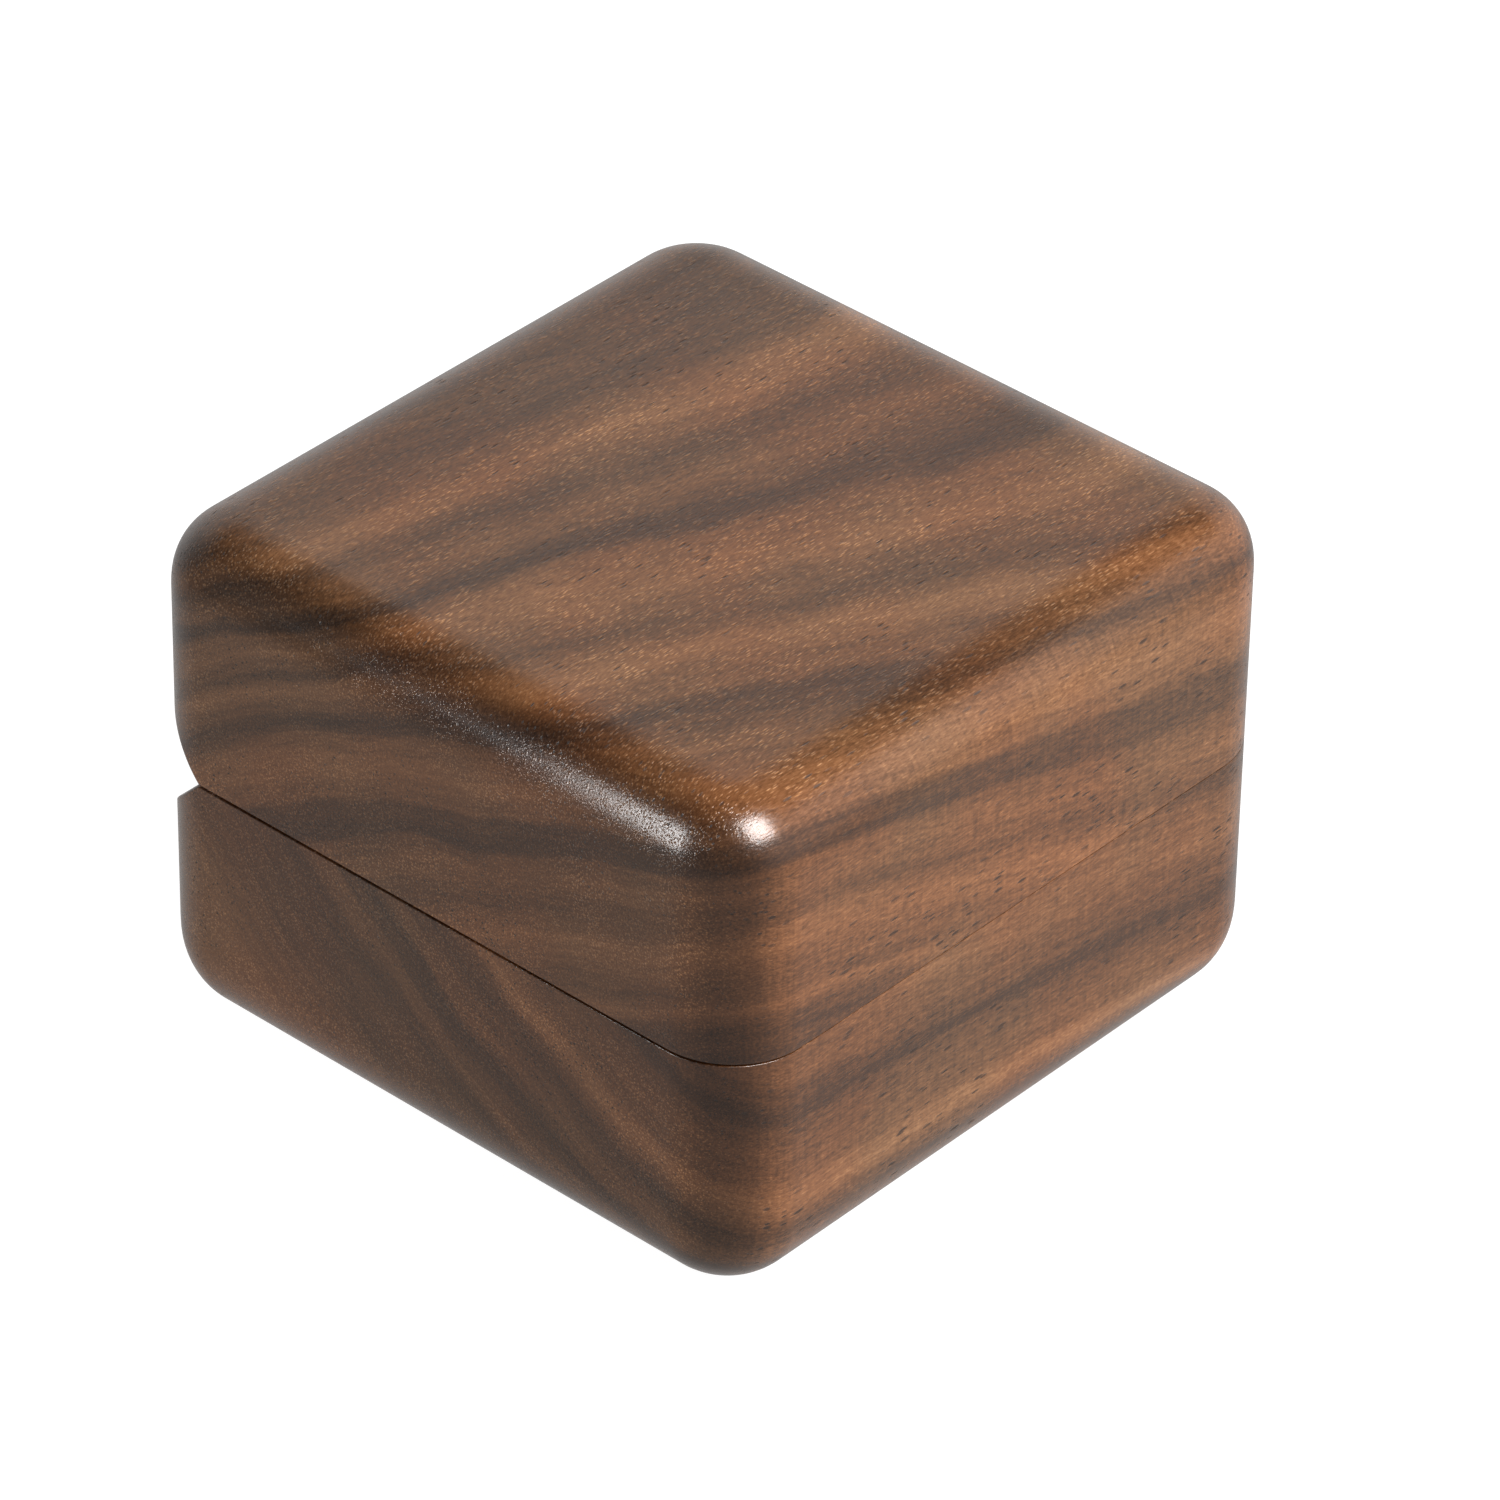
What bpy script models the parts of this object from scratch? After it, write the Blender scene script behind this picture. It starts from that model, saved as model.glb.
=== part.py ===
"""A hinged walnut ring box: two milled blocks, two concealed barrel hinges, magnets and cushions.

Frame: metres, +Z up, origin at the middle of the face the box stands on.
The front, which opens, faces -Y; the hinges are along the back, at +Y.
"""
import math

import bmesh
import bpy

MM = 0.001

# Driving dimensions of the closed box
WIDTH = 55.0 * MM
DEPTH = 54.4 * MM
HEIGHT = 39.6 * MM
SEAM_Z = 20.6 * MM
SEAM_GAP = 0.2 * MM
CORNER_RADIUS = 6.1 * MM
BOTTOM_RADIUS = 6.4 * MM
TOP_RADIUS = 4.8 * MM
EDGE_SEGMENTS = 7
ROUND_SIDES = 32
CRISP_ANGLE = 35.0

# Pockets milled into the two blocks
SIDE_WALL = 7.0 * MM
FRONT_WALL = 8.0 * MM
REAR_WALL = 11.0 * MM
FLOOR = 4.6 * MM
ROOF = 5.0 * MM
POCKET_RADIUS = 6.0 * MM

# Groove along the back at the seam: slanted faces, rounded off into the back face
GROOVE_DEPTH = 5.6 * MM
GROOVE_SLANT = 45.0
GROOVE_ROUND = 8.0 * MM
GROOVE_STEPS = 8

# Barrel hinges
HINGE_X = 15.5 * MM
HINGE_INSET = 6.0 * MM
BARREL_RADIUS = 2.5 * MM
BARREL_LENGTH = 9.0 * MM
BORE_CLEARANCE = 0.05 * MM
PIVOT_DEPTH = 2.0 * MM
LINK_THICKNESS = 1.4 * MM
LINK_EYE_RADIUS = 1.2 * MM
LINK_EYE_STEPS = 12
SLOT_CLEARANCE = 0.1 * MM
EYE_CLEARANCE = 0.15 * MM
PIN_RADIUS = 0.5 * MM
PIN_CLEARANCE = 0.05 * MM
PIN_LENGTH = 4.4 * MM
PIN_SIDES = 16

# Magnets
MAGNET_RADIUS = 2.0 * MM
MAGNET_LENGTH = 2.0 * MM
MAGNET_X = 15.5 * MM
MAGNET_INSET = 4.4 * MM

# Cushions and linings
REST_GAP = 0.3 * MM
BOARD = 1.0 * MM
CUSHION_TOP_BELOW_RIM = 1.4 * MM
CUSHION_SLOT = 0.8 * MM
CUSHION_ROUND = 3.5 * MM
CUSHION_SEGMENTS = 4
CUSHION_CRISP_ANGLE = 60.0
LID_PAD = 3.0 * MM

BACK_Y = DEPTH / 2
FRONT_Y = -DEPTH / 2
RIM_Z = SEAM_Z - SEAM_GAP / 2
LID_Z = SEAM_Z + SEAM_GAP / 2
HINGE_Y = BACK_Y - HINGE_INSET
POCKET_FRONT = FRONT_Y + FRONT_WALL
POCKET_BACK = BACK_Y - REAR_WALL
POCKET_MID = (POCKET_FRONT + POCKET_BACK) / 2
POCKET_WIDTH = WIDTH - 2 * SIDE_WALL
POCKET_DEPTH = POCKET_BACK - POCKET_FRONT
OVERCUT = 2.0 * MM
WELD = 0.001 * MM
SIDES = {"left": -1, "right": 1}


def clear_scene():
    """Remove every object that the file starts with."""
    for thing in list(bpy.data.objects):
        bpy.data.objects.remove(thing, do_unlink=True)


def new_collection(name):
    """Make a collection linked to the scene."""
    group = bpy.data.collections.new(name)
    bpy.context.scene.collection.children.link(group)
    return group


def new_material(name, colour, roughness, metallic=0.0):
    """Make a Principled BSDF material."""
    material = bpy.data.materials.new(name)
    material.use_nodes = True
    shader = material.node_tree.nodes["Principled BSDF"]
    shader.inputs["Base Color"].default_value = (*colour, 1.0)
    shader.inputs["Roughness"].default_value = roughness
    shader.inputs["Metallic"].default_value = metallic
    return material


def place(thing, name, group, material=None):
    """Name an object, move it to its collection and give it its material."""
    thing.name = name
    thing.data.name = name
    for old in list(thing.users_collection):
        old.objects.unlink(thing)
    group.objects.link(thing)
    if material:
        thing.data.materials.clear()
        thing.data.materials.append(material)
    return thing


def apply_scale(thing):
    """Write an object's scale and turn into its mesh."""
    bpy.context.view_layer.objects.active = thing
    thing.select_set(True)
    bpy.ops.object.transform_apply(location=False, rotation=True, scale=True)
    thing.select_set(False)


def block(name, group, size, centre, material=None):
    """A box of the given size about its centre."""
    bpy.ops.mesh.primitive_cube_add(size=1.0, location=centre)
    thing = bpy.context.object
    thing.scale = size
    apply_scale(thing)
    return place(thing, name, group, material)


def rod(name, group, radius, length, centre, axis="Z", sides=ROUND_SIDES, material=None):
    """A cylinder of the given radius and length about its centre, along Z or X."""
    turn = (0.0, math.pi / 2, 0.0) if axis == "X" else (0.0, 0.0, 0.0)
    bpy.ops.mesh.primitive_cylinder_add(
        radius=radius, depth=length, vertices=sides, location=centre, rotation=turn)
    thing = bpy.context.object
    apply_scale(thing)
    return place(thing, name, group, material)


def round_edges(thing, radii, segments=EDGE_SEGMENTS):
    """Bevel a box's edges; radii holds a radius for front_upright, back_upright, bottom and top."""
    widest = max(radii.values())
    mesh = bmesh.new()
    mesh.from_mesh(thing.data)
    weights = mesh.edges.layers.float.new("bevel_weight_edge")
    for edge in mesh.edges:
        first, second = (corner.co for corner in edge.verts)
        if abs(first.z - second.z) > WELD:
            kind = "front_upright" if first.y < 0 else "back_upright"
        elif first.z > 0:
            kind = "top"
        else:
            kind = "bottom"
        edge[weights] = radii.get(kind, 0.0) / widest
    mesh.to_mesh(thing.data)
    mesh.free()
    bevel = thing.modifiers.new("rounded_edges", "BEVEL")
    bevel.limit_method = "WEIGHT"
    bevel.offset_type = "OFFSET"
    bevel.width = widest
    bevel.segments = segments
    bevel.use_clamp_overlap = False
    return thing


def uprights(radius):
    """The same radius for all four upright edges."""
    return {"front_upright": radius, "back_upright": radius}


def cut(thing, cutter):
    """Take the cutter's shape out of an object."""
    boolean = thing.modifiers.new("cut_" + cutter.name, "BOOLEAN")
    boolean.operation = "DIFFERENCE"
    boolean.solver = "EXACT"
    boolean.object = cutter


def hide_cutter(cutter):
    """Show a cutter as wire only."""
    cutter.hide_render = True
    cutter.display_type = "WIRE"
    return cutter


def outline_plate(name, group, loops, thickness, centre, material=None):
    """A plate in the YZ plane: closed outlines (the first outside, the rest holes) with a thickness."""
    curve = bpy.data.curves.new(name, "CURVE")
    curve.dimensions = "2D"
    curve.fill_mode = "BOTH"
    curve.extrude = thickness / 2
    for loop in loops:
        spline = curve.splines.new("POLY")
        spline.points.add(len(loop) - 1)
        spline.use_cyclic_u = True
        for point, (y, z) in zip(spline.points, loop):
            point.co = (y, z, 0.0, 1.0)
    guide = bpy.data.objects.new(name + "_outline", curve)
    group.objects.link(guide)
    guide.location = centre
    guide.rotation_euler = (math.pi / 2, 0.0, math.pi / 2)
    bpy.context.view_layer.update()
    mesh = bpy.data.meshes.new_from_object(guide.evaluated_get(bpy.context.evaluated_depsgraph_get()))
    plate = bpy.data.objects.new(name, mesh)
    group.objects.link(plate)
    plate.matrix_world = guide.matrix_world
    bpy.data.objects.remove(guide, do_unlink=True)
    welded = bmesh.new()
    welded.from_mesh(mesh)
    bmesh.ops.remove_doubles(welded, verts=welded.verts, dist=WELD)
    bmesh.ops.recalc_face_normals(welded, faces=welded.faces)
    welded.to_mesh(mesh)
    welded.free()
    return place(plate, name, group, material)


def arc(centre, radius, start, end, steps):
    """Points on an arc from one angle to another, in degrees."""
    turns = [math.radians(start + (end - start) * step / steps) for step in range(steps + 1)]
    return [(centre[0] + radius * math.cos(turn), centre[1] + radius * math.sin(turn)) for turn in turns]


def smooth_round(thing, angle=CRISP_ANGLE):
    """Shade the round faces smooth and keep the edges crisp."""
    thing.data.shade_smooth()
    thing.data.set_sharp_from_angle(angle=math.radians(angle))


def groove_outline():
    """The groove's section: apex at the seam, two slanted faces, arcs that end in the back face."""
    slant = math.radians(GROOVE_SLANT)
    reach = GROOVE_DEPTH * math.tan(slant) + GROOVE_ROUND * math.tan(slant / 2)
    upper = arc((BACK_Y - GROOVE_ROUND, reach), GROOVE_ROUND, -GROOVE_SLANT, 0, GROOVE_STEPS)
    lower = [(y, -z) for y, z in reversed(upper)]
    outside = BACK_Y + OVERCUT
    apex = (BACK_Y - GROOVE_DEPTH, 0.0)
    return [apex] + upper + [(outside, reach), (outside, -reach)] + lower


def barrel_cutters(name, group, x, up):
    """The slot and pin hole of one barrel; up is 1 in the lid and -1 in the base."""
    pivot_z = SEAM_Z + up * PIVOT_DEPTH
    eye_room = LINK_EYE_RADIUS + EYE_CLEARANCE
    slot_back = BARREL_RADIUS + OVERCUT
    slot_height = PIVOT_DEPTH + eye_room + OVERCUT
    slot_z = pivot_z + up * (eye_room - slot_height / 2)
    slot_size = (LINK_THICKNESS + 2 * SLOT_CLEARANCE, slot_back + eye_room, slot_height)
    slot_centre = (x, HINGE_Y + (slot_back - eye_room) / 2, slot_z)
    slot = block(name + "_slot", group, slot_size, slot_centre)
    hole_length = 2 * (BARREL_RADIUS + OVERCUT)
    hole = rod(name + "_hole", group, PIN_RADIUS + PIN_CLEARANCE, hole_length,
               (x, HINGE_Y, pivot_z), axis="X", sides=PIN_SIDES)
    return [hide_cutter(slot), hide_cutter(hole)]


def make_hinge(side, parts, cutters, brass, steel, groove):
    """One barrel hinge: two barrels, a link and two pins."""
    x = SIDES[side] * HINGE_X
    for half, up, face_z in (("base", -1, RIM_Z), ("lid", 1, LID_Z)):
        name = half + "_barrel_" + side
        centre = (x, HINGE_Y, face_z + up * BARREL_LENGTH / 2)
        barrel = rod(name, parts, BARREL_RADIUS, BARREL_LENGTH, centre, material=brass)
        for cutter in barrel_cutters(name, cutters, x, up) + [groove]:
            cut(barrel, cutter)
        smooth_round(barrel)
        pin = rod(half + "_pin_" + side, parts, PIN_RADIUS, PIN_LENGTH,
                  (x, HINGE_Y, SEAM_Z + up * PIVOT_DEPTH), axis="X", sides=PIN_SIDES, material=steel)
        smooth_round(pin)
    upper = arc((0.0, PIVOT_DEPTH), LINK_EYE_RADIUS, 0, 180, LINK_EYE_STEPS)
    lower = arc((0.0, -PIVOT_DEPTH), LINK_EYE_RADIUS, 180, 360, LINK_EYE_STEPS)
    last_turn = 360 - 360 / PIN_SIDES
    holes = [arc((0.0, z), PIN_RADIUS + PIN_CLEARANCE, 0, last_turn, PIN_SIDES - 1)
             for z in (PIVOT_DEPTH, -PIVOT_DEPTH)]
    link = outline_plate("hinge_link_" + side, parts, [upper + lower] + holes, LINK_THICKNESS,
                         (x, HINGE_Y, SEAM_Z), brass)
    smooth_round(link)


def make_body(name, parts, bottom_z, top_z, radii, wood, tools):
    """A rounded walnut block with its pocket, groove and bores taken out."""
    size = (WIDTH, DEPTH, top_z - bottom_z)
    body = block(name, parts, size, (0.0, 0.0, (bottom_z + top_z) / 2), wood)
    round_edges(body, radii)
    for tool in tools:
        cut(body, tool)
    smooth_round(body)


def pocket_cutter(name, cutters, low_z, high_z):
    """A box with upright rounded corners, the shape of a milled pocket."""
    size = (POCKET_WIDTH, POCKET_DEPTH, high_z - low_z)
    tool = block(name, cutters, size, (0.0, POCKET_MID, (low_z + high_z) / 2))
    round_edges(tool, uprights(POCKET_RADIUS))
    return hide_cutter(tool)


def bore_cutters(half, cutters, face_z, up):
    """Bores for the two barrels and the two magnets of one half of the box."""
    tools = []
    for side, sign in SIDES.items():
        depth = BARREL_LENGTH + REST_GAP
        tools.append(rod(half + "_barrel_bore_" + side, cutters, BARREL_RADIUS + BORE_CLEARANCE,
                         depth + OVERCUT, (sign * HINGE_X, HINGE_Y, face_z + up * (depth - OVERCUT) / 2)))
        depth = MAGNET_LENGTH + 2 * BORE_CLEARANCE
        tools.append(rod(half + "_magnet_bore_" + side, cutters, MAGNET_RADIUS + BORE_CLEARANCE,
                         depth + OVERCUT,
                         (sign * MAGNET_X, FRONT_Y + MAGNET_INSET, face_z + up * (depth - OVERCUT) / 2)))
    return [hide_cutter(tool) for tool in tools]


def make_magnets(parts, nickel):
    """Two disc magnets in each front rim, a hair below the wood."""
    for half, up, face_z in (("base", -1, RIM_Z), ("lid", 1, LID_Z)):
        for side, sign in SIDES.items():
            z = face_z + up * (BORE_CLEARANCE + MAGNET_LENGTH / 2)
            magnet = rod(half + "_magnet_" + side, parts, MAGNET_RADIUS, MAGNET_LENGTH,
                         (sign * MAGNET_X, FRONT_Y + MAGNET_INSET, z), material=nickel)
            smooth_round(magnet)


def pad(name, parts, size, centre, radii, material):
    """A padded piece or card that fits a pocket."""
    thing = block(name, parts, size, centre, material)
    round_edges(thing, radii, CUSHION_SEGMENTS)
    smooth_round(thing, CUSHION_CRISP_ANGLE)


def make_soft_parts(parts, velvet, card):
    """The ring cushion's two rolls on their board, and the lid's pad on its board."""
    inner_width = POCKET_WIDTH - 2 * REST_GAP
    inner_depth = POCKET_DEPTH - 2 * REST_GAP
    fit = POCKET_RADIUS - REST_GAP

    board_z = FLOOR + REST_GAP + BOARD / 2
    pad("cushion_board", parts, (inner_width, inner_depth, BOARD), (0.0, POCKET_MID, board_z),
        uprights(fit), card)
    low = FLOOR + 2 * REST_GAP + BOARD
    high = RIM_Z - CUSHION_TOP_BELOW_RIM
    roll_depth = (inner_depth - CUSHION_SLOT) / 2
    for name, outer, inner, sign in (("cushion_front", "front_upright", "back_upright", -1),
                                     ("cushion_back", "back_upright", "front_upright", 1)):
        y = POCKET_MID + sign * (roll_depth + CUSHION_SLOT) / 2
        pad(name, parts, (inner_width, roll_depth, high - low), (0.0, y, (low + high) / 2),
            {outer: fit, inner: CUSHION_SLOT, "top": CUSHION_ROUND}, velvet)

    roof_z = HEIGHT - ROOF
    pad("lid_board", parts, (inner_width, inner_depth, BOARD),
        (0.0, POCKET_MID, roof_z - REST_GAP - BOARD / 2), uprights(fit), card)
    pad("lid_pad", parts, (inner_width, inner_depth, LID_PAD),
        (0.0, POCKET_MID, roof_z - 2 * REST_GAP - BOARD - LID_PAD / 2),
        uprights(fit), velvet)


def build():
    """Make the whole ring box."""
    clear_scene()
    parts = new_collection("ring_box")
    cutters = new_collection("cutters")

    walnut = new_material("walnut", (0.12, 0.055, 0.028), 0.32)
    brass = new_material("brass", (0.72, 0.50, 0.20), 0.30, 1.0)
    steel = new_material("pin_steel", (0.60, 0.60, 0.62), 0.25, 1.0)
    nickel = new_material("magnet_nickel", (0.75, 0.74, 0.71), 0.18, 1.0)
    velvet = new_material("velvet", (0.62, 0.55, 0.44), 0.95)
    card = new_material("card", (0.10, 0.09, 0.08), 0.9)

    groove = hide_cutter(outline_plate("hinge_groove", cutters, [groove_outline()],
                                       WIDTH + 2 * OVERCUT, (0.0, 0.0, SEAM_Z)))
    base_pocket = pocket_cutter("base_pocket", cutters, FLOOR, RIM_Z + OVERCUT)
    lid_pocket = pocket_cutter("lid_pocket", cutters, LID_Z - OVERCUT, HEIGHT - ROOF)

    make_body("base_body", parts, 0.0, RIM_Z, {**uprights(CORNER_RADIUS), "bottom": BOTTOM_RADIUS},
              walnut, [base_pocket, groove] + bore_cutters("base", cutters, RIM_Z, -1))
    make_body("lid_body", parts, LID_Z, HEIGHT, {**uprights(CORNER_RADIUS), "top": TOP_RADIUS},
              walnut, [lid_pocket, groove] + bore_cutters("lid", cutters, LID_Z, 1))
    for side in SIDES:
        make_hinge(side, parts, cutters, brass, steel, groove)
    make_magnets(parts, nickel)
    make_soft_parts(parts, velvet, card)


build()
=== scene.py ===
# %% [markdown]
# # A walnut ring box
#
# This lesson dresses a small hinged ring box: two blocks of walnut, milled out and sanded round,
# with two barrel hinges hidden in the back rims, magnets in the front rims and velvet inside.
# The working model of the box is already there, as a frame that this script never changes. We load
# it first, and every piece made below takes its place and its size from it.

# %% Load the frame
import math

import bpy
import numpy as np
from mathutils import Matrix, Vector


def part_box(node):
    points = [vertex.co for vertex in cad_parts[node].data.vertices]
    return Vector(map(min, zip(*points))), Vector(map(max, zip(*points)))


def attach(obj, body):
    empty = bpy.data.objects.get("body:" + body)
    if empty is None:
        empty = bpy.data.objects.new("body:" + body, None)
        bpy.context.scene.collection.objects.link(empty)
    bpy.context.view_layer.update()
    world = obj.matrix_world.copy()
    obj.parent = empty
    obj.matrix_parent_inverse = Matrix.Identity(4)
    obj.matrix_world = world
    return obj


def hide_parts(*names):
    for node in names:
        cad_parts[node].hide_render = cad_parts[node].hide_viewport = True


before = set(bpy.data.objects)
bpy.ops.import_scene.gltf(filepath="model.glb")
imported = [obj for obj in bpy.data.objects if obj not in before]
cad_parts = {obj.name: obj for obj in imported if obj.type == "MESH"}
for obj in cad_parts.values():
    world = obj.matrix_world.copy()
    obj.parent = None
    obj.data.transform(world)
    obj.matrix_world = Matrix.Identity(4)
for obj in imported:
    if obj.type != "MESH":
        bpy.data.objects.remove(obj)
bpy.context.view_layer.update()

MM = 0.001

# %% [markdown]
# ## The camera
#
# A small object is seen best from well away through a long lens, which keeps its edges nearly
# parallel. The camera stands to the front left and looks down on the box. It could be placed by hand
# in the viewport, but a direction, a distance and a roll say the same thing in four numbers that
# can be read and changed. The view transform is Standard, so a white floor stays white.

# %% Place the camera
AZIMUTH = math.radians(-48.195)
ELEVATION = math.radians(35.515)
ROLL = math.radians(1.0)
DISTANCE = 601.7 * MM
AIM_HEIGHT = 19.8 * MM
AIM_RIGHT = 2.6 * MM
LENS = 213.5


def camera_turn(forward, roll):
    """Camera axes as columns: right is forward x up, then right and up turn by the roll."""
    right = forward.cross(Vector((0, 0, 1))).normalized()
    up = right.cross(forward)
    rolled_right = right * math.cos(roll) + up * math.sin(roll)
    rolled_up = up * math.cos(roll) - right * math.sin(roll)
    return Matrix((rolled_right, rolled_up, -forward)).transposed().to_4x4()


towards_camera = Vector((math.sin(AZIMUTH) * math.cos(ELEVATION),
                         -math.cos(AZIMUTH) * math.cos(ELEVATION), math.sin(ELEVATION)))
target = Vector((0, 0, AIM_HEIGHT))
side_step = (-towards_camera).cross(Vector((0, 0, 1))).normalized() * AIM_RIGHT
camera_place = target + towards_camera * DISTANCE
lens = bpy.data.cameras.new("long_lens")
lens.lens = LENS
lens.sensor_width = 36.0
lens.clip_start = 0.05
lens.clip_end = 50.0
camera = bpy.data.objects.new("camera", lens)
bpy.context.scene.collection.objects.link(camera)
looking = (target + side_step - camera_place).normalized()
camera.matrix_world = Matrix.Translation(camera_place) @ camera_turn(looking, ROLL)
bpy.context.scene.camera = camera
bpy.context.scene.view_settings.view_transform = "Standard"
print("camera, mm:", [round(part / MM) for part in camera_place])

# %% [markdown]
# ## The table and the light
#
# The box stands on a lit white table, the kind used for catalogue pictures, so its shadow is almost
# gone. Polished wood shows what is around it: the top mirrors the low white wall behind, which lays
# a thin grey veil over the brown, while the rounded edges mirror the dark ceiling and keep a deep
# colour. So the world is a gradient on height and not one even tone: white up to a little over the
# height that the top mirrors, and dark above it. The walls are also darker on the left, away from
# the light. The table glows for the eye but is left out of mirror images, because a glowing table
# would lay its own veil over the sides; they mirror the dim lower half of the room instead.
#
# Shine and light come from separate soft boxes. Three of them only show in mirror images: the key
# makes the bright spot on the front corner, and two small cards beside the box make the streak on
# its left edge, strong at the front end and faint behind. The other three only give light. So each
# face gets its brightness without the lamp's picture in its polish.

# %% Lay the table
FLOOR_HALF = 3.0
FLOOR_GLOW = 0.97
FLOOR_GREY = 0.16


def add_floor():
    """A square at z = 0 that gives back little light and has a glow of its own."""
    mesh = bpy.data.meshes.new("table")
    corners = [(x * FLOOR_HALF, y * FLOOR_HALF, 0.0) for x, y in ((-1, -1), (1, -1), (1, 1), (-1, 1))]
    mesh.from_pydata(corners, [], [(0, 1, 2, 3)])
    floor = bpy.data.objects.new("table", mesh)
    bpy.context.scene.collection.objects.link(floor)
    material = bpy.data.materials.new("white_table")
    material.use_nodes = True
    shader = material.node_tree.nodes["Principled BSDF"]
    shader.inputs["Base Color"].default_value = (FLOOR_GREY, FLOOR_GREY, FLOOR_GREY, 1.0)
    shader.inputs["Roughness"].default_value = 0.7
    shader.inputs["Emission Color"].default_value = (1.0, 1.0, 1.0, 1.0)
    shader.inputs["Emission Strength"].default_value = FLOOR_GLOW
    mesh.materials.append(material)
    floor.visible_glossy = False


add_floor()

# %% Light the room: white walls, dark ceiling
WALL_GLOW = 0.95
CEILING_GLOW = 0.08
CELLAR_GLOW = (0.42, 0.60)
LEFT_SHARE = 0.22
WALL_TOP = math.sin(math.radians(33.0))
CEILING_START = math.sin(math.radians(46.0))
WALL_FOOT = math.sin(math.radians(-4.0))
CELLAR_START = math.sin(math.radians(-20.0))


def add_world():
    """Glow by direction: smooth steps from the cellar to the walls and on to the ceiling, by the sine
    of the height; the walls also step from the left share to 1 by how far the direction points right.
    The cellar steps from its left glow to its right glow in the same way."""
    world = bpy.data.worlds.new("studio")
    bpy.context.scene.world = world
    world.use_nodes = True
    nodes, links = world.node_tree.nodes, world.node_tree.links
    split = nodes.new("ShaderNodeSeparateXYZ")
    links.new(nodes.new("ShaderNodeTexCoord").outputs["Generated"], split.inputs[0])

    def step(part, low, high, start, end):
        """A smooth step from start to end as one part of the direction goes from low to high."""
        node = nodes.new("ShaderNodeMapRange")
        node.interpolation_type = "SMOOTHSTEP"
        for key, value in zip(("From Min", "From Max", "To Min", "To Max"), (low, high, start, end)):
            node.inputs[key].default_value = value
        links.new(split.outputs[part], node.inputs["Value"])
        return node.outputs["Result"]

    def product(first, second):
        """Two results multiplied."""
        node = nodes.new("ShaderNodeMath")
        node.operation = "MULTIPLY"
        links.new(first, node.inputs[0])
        links.new(second, node.inputs[1])
        return node.outputs[0]

    glow = step("Z", WALL_TOP, CEILING_START, WALL_GLOW, CEILING_GLOW)
    glow = product(glow, step("X", -0.6, 0.3, LEFT_SHARE, 1.0))
    cellar = nodes.new("ShaderNodeMix")
    links.new(step("Z", CELLAR_START, WALL_FOOT, 0.0, 1.0), cellar.inputs["Factor"])
    links.new(step("X", -0.5, 0.5, *CELLAR_GLOW), cellar.inputs["A"])
    links.new(glow, cellar.inputs["B"])
    glow = cellar.outputs["Result"]
    links.new(glow, nodes["Background"].inputs["Strength"])
    nodes["Background"].inputs["Color"].default_value = (1.0, 1.0, 1.0, 1.0)


add_world()

# %% Hang the soft boxes
SOFT_BOXES = {
    # name: azimuth, elevation, distance, width, height, glow, shows only in mirror images
    "key": (-6.0, 50.0, 0.80, 0.36, 0.48, 27.0, True),
    "edge_card": (-90.0, 23.4, 0.067, 0.008, 0.022, 30.0, True),
    "edge_tail": (-112.7, 19.4, 0.121, 0.028, 0.012, 1.7, True),
    "main": (24.0, 50.0, 0.80, 0.40, 0.46, 13.0, False),
    "front_fill": (40.0, 16.0, 0.90, 1.20, 0.60, 3.2, False),
    "left_fill": (-105.0, 25.0, 0.80, 0.60, 0.60, 1.3, False),
}


def direction(azimuth, elevation):
    """The unit vector towards a place in the room: azimuth 0 is in front of the box, 90 to its right."""
    a, e = math.radians(azimuth), math.radians(elevation)
    return Vector((math.sin(a) * math.cos(e), -math.cos(a) * math.cos(e), math.sin(e)))


for name, (azimuth, elevation, distance, width, height, glow, only_shine) in SOFT_BOXES.items():
    lamp = bpy.data.lights.new(name, "AREA")
    lamp.shape = "RECTANGLE"
    lamp.size = width
    lamp.size_y = height
    lamp.energy = glow * math.pi * width * height
    hung = bpy.data.objects.new(name, lamp)
    bpy.context.scene.collection.objects.link(hung)
    hung.visible_camera = False
    hung.visible_diffuse = not only_shine
    hung.visible_glossy = only_shine
    towards = direction(azimuth, elevation)
    hung.location = target + towards * distance
    hung.rotation_euler = towards.to_track_quat("Z", "Y").to_euler()
    print(name, [round(part, 2) for part in hung.location])

# %% [markdown]
# ## Making closed surfaces
#
# Every new piece is a stack of closed rings with a skin between them, like the hoops of a basket.
# Ring and step are the surface's two parameters, and numpy works all the points out at once. One
# helper turns such a stack into a mesh. It closes both ends with a fan to the middle of the last
# ring, measures the volume with its sign, and turns the faces round if the sign says inside out.

# %% A skin over a stack of rings


def faces_of(steps, around):
    """Quads between neighbouring rings, and a fan at each end to a middle point."""
    index = np.arange(steps * around).reshape(steps, around)
    ahead = np.roll(index, -1, axis=1)
    quads = np.stack([index[:-1], ahead[:-1], ahead[1:], index[1:]], axis=-1).reshape(-1, 4)
    first = np.full(around, steps * around)
    start = np.stack([ahead[0], index[0], first], axis=-1)
    end = np.stack([index[-1], ahead[-1], first + 1], axis=-1)
    return quads, np.concatenate([start, end])


def signed_volume(points, quads, fans):
    """The sum of a . (b x c) / 6 over all triangles: above zero when the faces point outwards."""
    triangles = np.concatenate([quads[:, :3], quads[:, [0, 2, 3]], fans])
    a, b, c = (points[triangles[:, corner]] for corner in range(3))
    return float(np.einsum("ij,ij->", a, np.cross(b, c)) / 6)


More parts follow.
